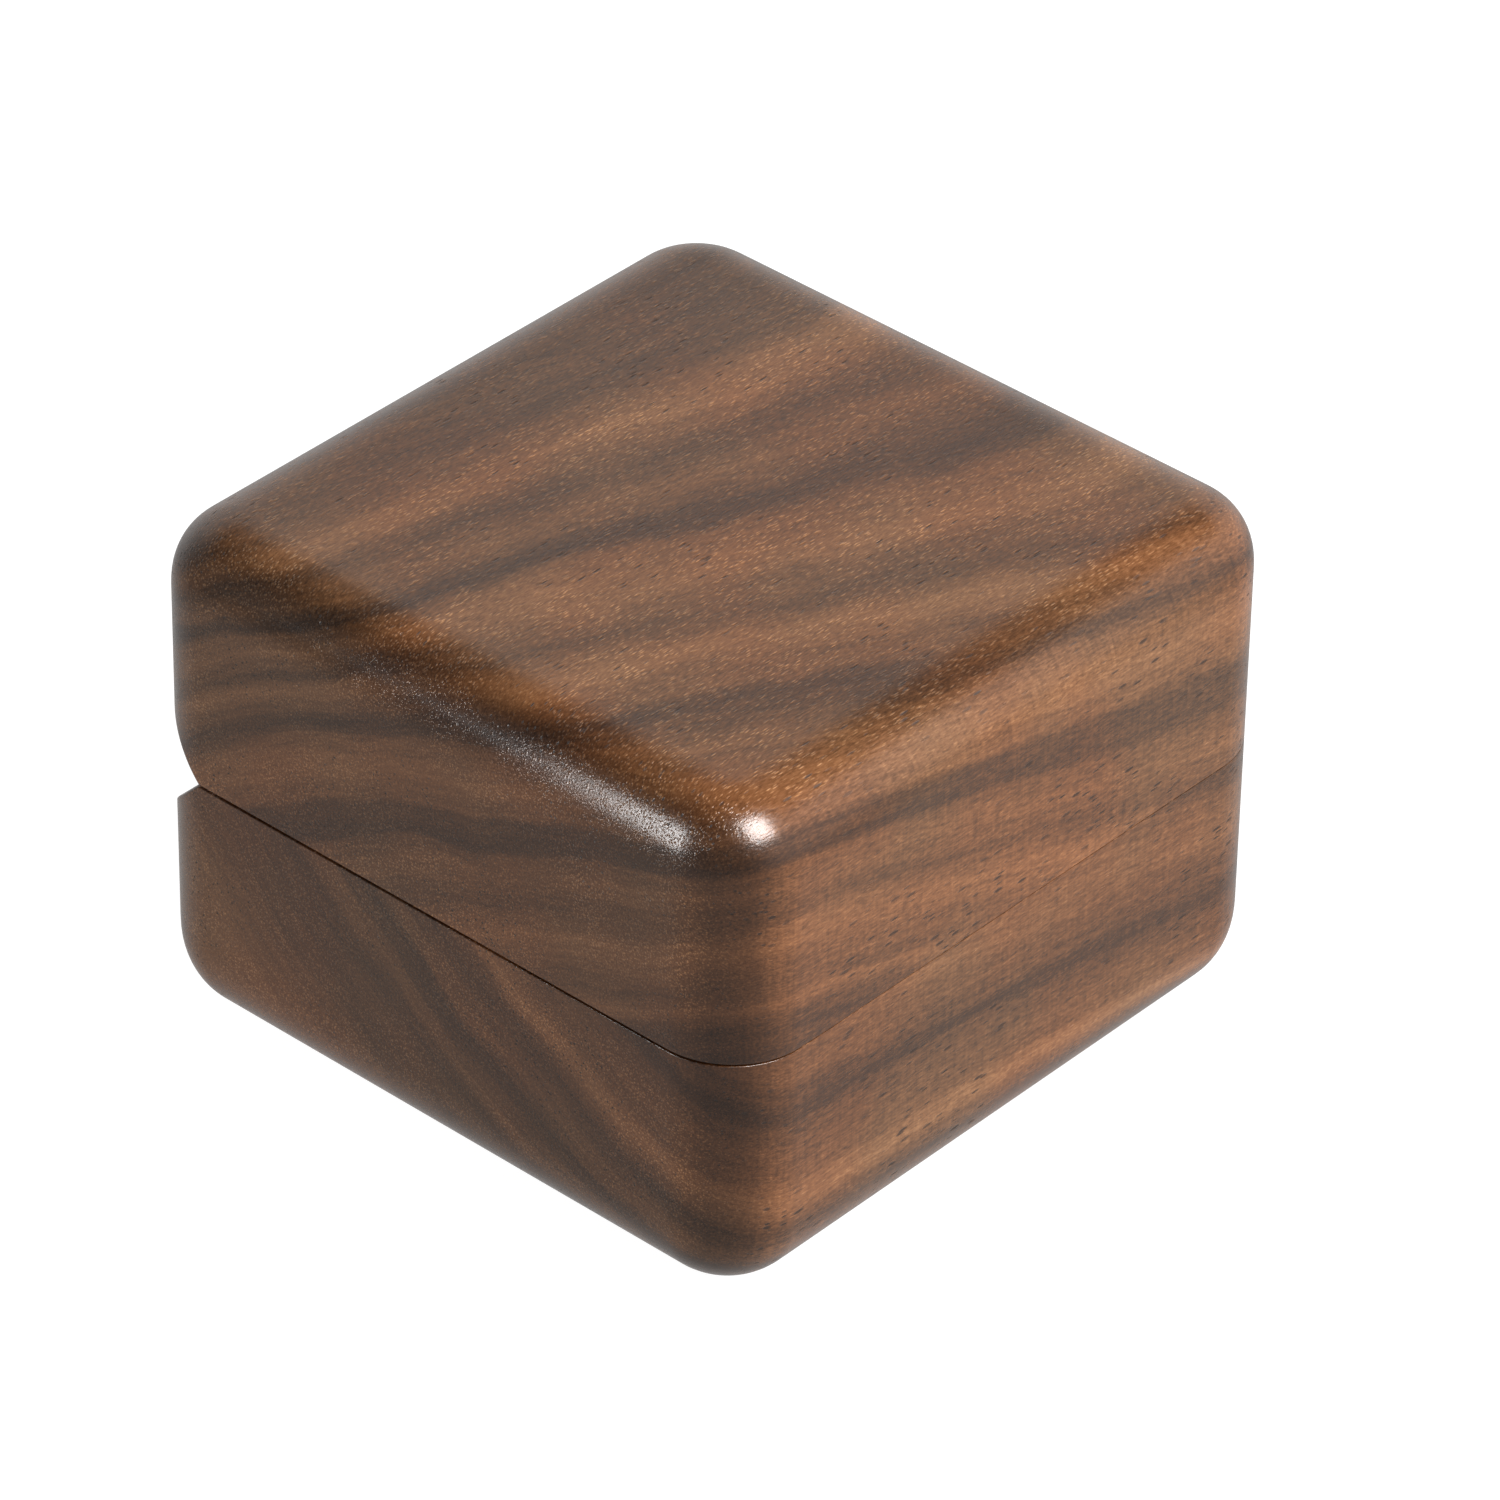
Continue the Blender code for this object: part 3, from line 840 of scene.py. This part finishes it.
# %% [markdown]
# ## The hidden hinges
#
# A barrel hinge is two short brass barrels, one let into each rim, with thin link plates between
# them on two steel pins. Shut, it shows only in the groove at the back. Open, the barrels' ends and
# the plates show from the front as well. Barrels and pins are turned, so each is a profile carried
# round an axis, with its rims eased. The slot for the plates and the slanted face at the groove are
# cut afterwards, as a milling cutter does. The plates are three to a hinge, with a stadium outline:
# a straight with two half circles.

# %% Barrels
PIVOT_RISE = 2.0 * MM
SLOT_WIDTH = 1.6 * MM
SLOT_FRONT = 1.35 * MM
BARREL_EASE = 0.18 * MM
ROOM = 6.0 * MM


def box_skin(name, low, high):
    """A closed box from a lowest to a highest corner: one square ring at each end."""
    x, y = (low[0], high[0]), (low[1], high[1])
    square = np.array([(x[0], y[0]), (x[1], y[0]), (x[1], y[1]), (x[0], y[1])])
    return skin(name, lift_flat(np.stack([square, square]), np.array([low[2], high[2]])))


def groove_prism(name):
    """The groove's wedge, carried along x: its bottom edge and two points behind the box."""
    behind = BACK + ROOM
    reach = GROOVE_DEPTH + ROOM
    wedge = np.array([(BACK - GROOVE_DEPTH, 0), (behind, reach), (behind, -reach)])
    x = np.array([-HALF_WIDTH, HALF_WIDTH])[:, None]
    y, z = wedge[:, 0] + 0 * x, SEAM + wedge[:, 1] + 0 * x
    return skin(name, np.stack([x + 0 * y, y, z], axis=-1))


def add_barrel(half, side):
    """A brass barrel with its slanted face and a slot that opens to the rim and to the back."""
    node = f"{half}_barrel_{side}"
    middle, radius, length = rod_of(node)
    up = 1 if half == "lid" else -1
    barrel = turned("brass_" + node, eased_rod(radius, -length / 2, length / 2, BARREL_EASE), middle)
    pivot = SEAM + up * PIVOT_RISE
    ends = sorted((pivot + up * SLOT_FRONT, SEAM - up * ROOM))
    slot = box_skin("slot", (middle.x - SLOT_WIDTH / 2, middle.y - SLOT_FRONT, ends[0]),
                    (middle.x + SLOT_WIDTH / 2, BACK + ROOM, ends[1]))
    carve(barrel, [slot, groove_prism("wedge")])
    return fit(shade(barrel), half, node)


barrels = [add_barrel(half, side) for half, side in PLACES]
print("barrels:", len(barrels))

# %% Pins
PIN_EASE = 0.12 * MM


def add_rod(half, side, fitting, metal, ease, axis="Z", sides=48):
    """A turned rod in the place of a CAD node, with a quarter circle at each rim."""
    node = f"{half}_{fitting}_{side}"
    middle, radius, length = rod_of(node, axis)
    profile = eased_rod(radius, -length / 2, length / 2, ease)
    rod = turned(f"{metal}_{node}", profile, middle, axis, sides)
    return fit(shade(rod), half, node)


pins = [add_rod(half, side, "pin", "steel", PIN_EASE, "X", 32) for half, side in PLACES]
print("pins:", len(pins))

# %% Link plates
PLATE = 0.40 * MM
PLATE_GAP = 0.10 * MM
PLATE_EASE = 0.06 * MM
PIN_HOLE = 0.55 * MM


def stadium(middle, half_straight, radius, steps=20):
    """A closed outline in (y, z): half circles of a radius round two points, joined by straights."""
    turn = np.linspace(0, np.pi, steps + 1)
    upper = np.stack([radius * np.cos(turn), half_straight + radius * np.sin(turn)], axis=-1)
    return np.concatenate([upper, -upper]) + middle


def mesh_points(mesh):
    """The points of a mesh as an array."""
    flat = np.empty(len(mesh.vertices) * 3, np.float32)
    mesh.vertices.foreach_get("co", flat)
    return flat.reshape(-1, 3).astype(float)


def join(piece, others):
    """Put other pieces' meshes into one piece, unchanged: all points, then faces counted on."""
    meshes = [piece.data] + [other.data for other in others]
    points = np.concatenate([mesh_points(mesh) for mesh in meshes])
    faces, start = [], 0
    for mesh in meshes:
        faces += [[start + corner for corner in face.vertices] for face in mesh.polygons]
        start += len(mesh.vertices)
    piece.data = bpy.data.meshes.new(piece.name)
    piece.data.from_pydata(points.tolist(), [], faces)
    for other in others:
        bpy.data.objects.remove(other, do_unlink=True)


def add_plate(middle, start, radius):
    """One plate: a stadium carried along x, a little smaller at both ends, with its two pin holes."""
    rings = []
    for x, inset in ((0, PLATE_EASE), (PLATE_EASE, 0), (PLATE - PLATE_EASE, 0), (PLATE, PLATE_EASE)):
        outline = stadium((middle.y, middle.z), PIVOT_RISE, radius - inset)
        rings.append(np.column_stack([np.full(len(outline), start + x), outline]))
    plate = skin("plate", np.stack(rings))
    hole = [(PIN_HOLE, -ROOM), (PIN_HOLE, ROOM)]
    return carve(plate, [turned("hole", hole, middle + Vector((0, 0, rise)), "X", 32)
                         for rise in (-PIVOT_RISE, PIVOT_RISE)])


def add_links(side):
    """Three plates side by side, as one piece."""
    node = f"hinge_link_{side}"
    low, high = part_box(node)
    middle = (low + high) / 2
    starts = [middle.x + place * (PLATE + PLATE_GAP) - PLATE / 2 for place in (-1, 0, 1)]
    plates = [add_plate(middle, start, (high.y - low.y) / 2) for start in starts]
    join(plates[0], plates[1:])
    plates[0].name = "link_plates_" + side
    return fit(shade(plates[0]), "hinge_links", node)


links = [add_links(side) for side in SIDES]
print("plates:", 3 * len(links))

# %% [markdown]
# ## The magnets
#
# Four small discs hold the lid shut, two in each front rim. They are nickel plated, and their edges
# are rounded well over, because the plating chips off a sharp edge.

# %% Magnets
MAGNET_EASE = 0.28 * MM

magnets = [add_rod(half, side, "magnet", "nickel", MAGNET_EASE) for half, side in PLACES]
print("magnets:", len(magnets))

# %% [markdown]
# ## Metal finishes
#
# Turned brass has fine rings from the tool round its axis, and it tarnishes in soft patches. Ground
# steel has fine lines along it. Nickel plate is close to a mirror, with hair scratches in all
# directions. All three are a metal colour with small changes in roughness and a shallow relief.

# %% Brass, steel and nickel


def coat(pieces, material):
    """Give every piece the material as its only one."""
    for piece in pieces:
        piece.data.materials.clear()
        piece.data.materials.append(material)


def metal_finish(name, colour, tarnish, lines, roughness):
    """Metal with stretched noise as tool marks and slow noise as tarnish."""
    finish = Finish(name)
    marks = finish.noise(finish.vector("MULTIPLY", finish.place, lines), 1.0, 3.0, 0.6)
    patches = finish.span(finish.noise(finish.place, 0.9, 3.0), 0.40, 0.68)
    shade_of = finish.mix(finish.math("MULTIPLY", patches, 0.5), (*colour, 1.0), (*tarnish, 1.0))
    rough = finish.math("ADD", finish.span(marks, 0.3, 0.7, roughness, roughness + 0.12),
                        finish.math("MULTIPLY", patches, 0.08))
    return finish.wear(shade_of, rough, finish.bump(marks, 0.004), Metallic=1.0)


brass = metal_finish("turned_brass", (0.78, 0.53, 0.22), (0.52, 0.31, 0.12), (0.6, 0.6, 14.0), 0.20)
steel = metal_finish("ground_steel", (0.62, 0.62, 0.64), (0.42, 0.41, 0.41), (1.0, 16.0, 16.0), 0.22)
nickel = metal_finish("nickel_plate", (0.76, 0.75, 0.72), (0.60, 0.58, 0.53), (5.0, 5.0, 5.0), 0.12)
for pieces, finish in ((barrels + links, brass), (pins, steel), (magnets, nickel)):
    coat(pieces, finish)

# %% [markdown]
# ## Velvet cushions
#
# The ring stands in a slit between two foam rolls covered with velvet, and a thin pad in the lid
# keeps it from rattling. A padded piece swells under its cover until something stops it. Modelling
# that by hand looks like a rounded block. So each piece starts as a slightly small block of stacked
# rings, gets an even net of points from a voxel remesh, and is blown up by the cloth solver with a
# little pressure and no gravity. The solver is made for garments, so the piece is simulated at ten
# times its size and shrunk back. Afterwards the swelling is capped, and the walls of the pocket and
# the slit flatten what would pass them, as they do in a real box.

# %% A small block to start from
SIMULATION_SCALE = 10.0
VOXEL = 0.55 * MM
PRESSURE = 4.0
LAST_FRAME = 20


def cushion_block(name, low, high, corner, crown, foot):
    """Stacked plan rings: a rounded foot, an upright wall, and a crown that is a quarter ellipse."""
    half, front, back = (high.x - low.x) / 2, low.y, high.y
    middle = Vector(((low.x + high.x) / 2, 0, 0))
    level, rise = np.cos(quarter(10)), np.sin(quarter(10))
    lower = np.stack([foot * (1 - rise), low.z + foot * (1 - level)], axis=1)
    upper = np.stack([crown * (1 - level), high.z - crown * (1 - rise)], axis=1)
    inset, height = np.concatenate([lower, upper]).T
    rings = lift_flat(plan_rings(half - inset, front + inset, back - inset,
                                 np.maximum(corner - inset, TINY), back - inset), height)
    return skin(name, rings + np.array(middle))


# %% Inflate a piece


def move_points(piece, points):
    """Put a piece's points at new places."""
    piece.data.vertices.foreach_set("co", points.astype(np.float32).ravel())
    piece.data.update()


def inflate(piece, cap):
    """Remesh, blow up for twenty frames, and keep each point within the cap of where it began."""
    remesh = piece.modifiers.new("even_net", "REMESH")
    remesh.mode = "VOXEL"
    remesh.voxel_size = VOXEL
    bake(piece)
    start = mesh_points(piece.data)
    move_points(piece, start * SIMULATION_SCALE)
    cloth = piece.modifiers.new("swell", "CLOTH").settings
    cloth.quality = 6
    cloth.mass = 0.3
    cloth.tension_stiffness = cloth.compression_stiffness = 12.0
    cloth.bending_stiffness = 0.4
    cloth.use_pressure = True
    cloth.uniform_pressure_force = PRESSURE
    cloth.effector_weights.gravity = 0.0
    scene = bpy.context.scene
    for number in range(1, LAST_FRAME + 1):
        scene.frame_set(number)
    swollen = mesh_points(evaluated_mesh(piece)) / SIMULATION_SCALE
    piece.modifiers.clear()
    scene.frame_set(1)
    moved = swollen - start
    far = np.linalg.norm(moved, axis=1, keepdims=True)
    moved *= np.minimum(1.0, cap / np.maximum(far, 1e-9))
    move_points(piece, start + moved)
    print(piece.name, "swelled by up to", round(float(far.max()) / MM, 2), "mm")


# %% Press a swollen piece into its space
PRESS_SOFTNESS = 0.35 * MM


def soft_stop(value, limit):
    """Values near and past a limit bend to it: limit - s log(1 + exp((limit - value) / s))."""
    return limit - PRESS_SOFTNESS * np.logaddexp(0, (limit - value) / PRESS_SOFTNESS)


def press(piece, low, high):
    """Flatten what passes a box, softly, on all six sides."""
    points = mesh_points(piece.data)
    for axis in range(3):
        points[:, axis] = soft_stop(points[:, axis], high[axis])
        points[:, axis] = -soft_stop(-points[:, axis], -low[axis])
    return points


def tuck(points, low, high, folds, depth):
    """Shallow folds down the side walls: a wave round the middle that fades from foot to crown."""
    middle = (np.array(low) + np.array(high)) / 2
    away = points - middle
    around = np.arctan2(away[:, 1] * (high[0] - low[0]) / (high[1] - low[1]), away[:, 0])
    height = np.clip((points[:, 2] - low[2]) / (high[2] - low[2]), 0, 1)
    wave = np.cos(around * folds + 1.3 * np.sin(3 * around)) * (1 - height) ** 1.5
    flat = away * (1, 1, 0)
    outward = flat / np.maximum(np.linalg.norm(flat, axis=1, keepdims=True), 1e-9)
    return points + outward * (wave * depth - depth)[:, None]


# %% Make the rolls and the lid's pad
SWELL_CAP = 1.1 * MM
START_SMALLER = 0.3 * MM
FOLD_DEPTH = 0.10 * MM
FOLDS = 46
ROLL_CORNER = 5.0 * MM
ROLL_FOOT = 1.0 * MM

SOFT_PIECES = {
    # name: CAD node, body, slot, height of the crown in mm, fill
    "velvet_roll_front": ("cushion_front", "base", "cushion_velvet", 4.2, 0.7),
    "velvet_roll_back": ("cushion_back", "base", "cushion_velvet", 4.2, 0.7),
    "velvet_lid_pad": ("lid_pad", "lid", "lid_velvet", 1.0, 0.5),
}


def add_soft(name, node, body, slot, crown, fill):
    """Start small, inflate, press into the CAD solid's box, tuck the sides, and smooth once."""
    low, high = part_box(node)
    inner = Vector((START_SMALLER,) * 3)
    piece = cushion_block(name, low + inner, high - inner, ROLL_CORNER, crown * MM, ROLL_FOOT)
    inflate(piece, SWELL_CAP)
    points = press(piece, low, high)
    move_points(piece, tuck(points, low, high, FOLDS, FOLD_DEPTH))
    smooth = piece.modifiers.new("smooth", "SUBSURF")
    smooth.levels = smooth.render_levels = 1
    bake(piece)
    piece.data.shade_smooth()
    fit(piece, body, node)
    print(name, len(piece.data.polygons), "faces")
    return piece


soft_pieces = [add_soft(name, *facts) for name, facts in SOFT_PIECES.items()]

# %% [markdown]
# ## Velvet and card
#
# Velvet is a short, dense pile. It is darkest where we look straight into it and pale where the
# fibres stand against the light, so it has sheen. The pile leans this way and that, which shows as
# soft cloudy patches, and single fibres show as a fine grain. The boards under the covers are grey
# card with a cloth face: a plain weave of two crossing waves.

# %% Velvet


def velvet_finish(name, deep, pale):
    """Pile that leans in clouds, with a fine fibre relief and a pale sheen."""
    finish = Finish(name)
    lean = finish.span(finish.noise(finish.vector("MULTIPLY", finish.place, (1.0, 1.6, 1.0)), 0.22, 3.0),
                       0.35, 0.65)
    pile = finish.noise(finish.vector("MULTIPLY", finish.place, (1.0, 1.0, 0.6)), 9.0, 2.0, 0.7)
    nap = finish.noise(finish.vector("MULTIPLY", finish.place, (1.0, 1.5, 1.2)), 1.6, 3.0, 0.65)
    clouds = finish.math("MULTIPLY_ADD", lean, 0.36, 0.06)
    clouds = finish.math("MULTIPLY_ADD", nap, 0.55, clouds)
    clouds = finish.math("MULTIPLY_ADD", finish.math("SUBTRACT", pile, 0.5), 1.3, clouds)
    colour = finish.mix(finish.span(clouds, 0.0, 1.0), (*deep, 1.0), (*pale, 1.0))
    relief = finish.math("MULTIPLY_ADD", nap, 0.8, pile)
    return finish.wear(colour, 0.95, finish.bump(relief, 0.05), Sheen_Weight=0.7, Sheen_Roughness=0.35,
                       Sheen_Tint=(1.0, 0.96, 0.88, 1.0), Specular_IOR_Level=0.15)


velvet = velvet_finish("cream_velvet", (0.40, 0.335, 0.255), (0.58, 0.505, 0.40))
coat(soft_pieces, velvet)

# %% Cloth faced card


def card_finish(name):
    """Two crossing waves as a weave, on dark grey card, with slow stains."""
    finish = Finish(name)
    x, y, z = finish.split(finish.place)
    threads = finish.math("MULTIPLY", finish.math("SINE", finish.math("MULTIPLY", x, 12.0)),
                          finish.math("SINE", finish.math("MULTIPLY", y, 12.0)))
    stains = finish.noise(finish.place, 0.25, 3.0)
    tone = finish.math("MULTIPLY_ADD", threads, 0.15, stains)
    colour = finish.mix(finish.span(tone, 0.2, 0.9), (0.06, 0.055, 0.05, 1.0), (0.14, 0.13, 0.12, 1.0))
    return finish.wear(colour, 0.9, finish.bump(threads, 0.03))


card = card_finish("cloth_card")
coat([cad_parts[node] for node in ("cushion_board", "lid_board")], card)
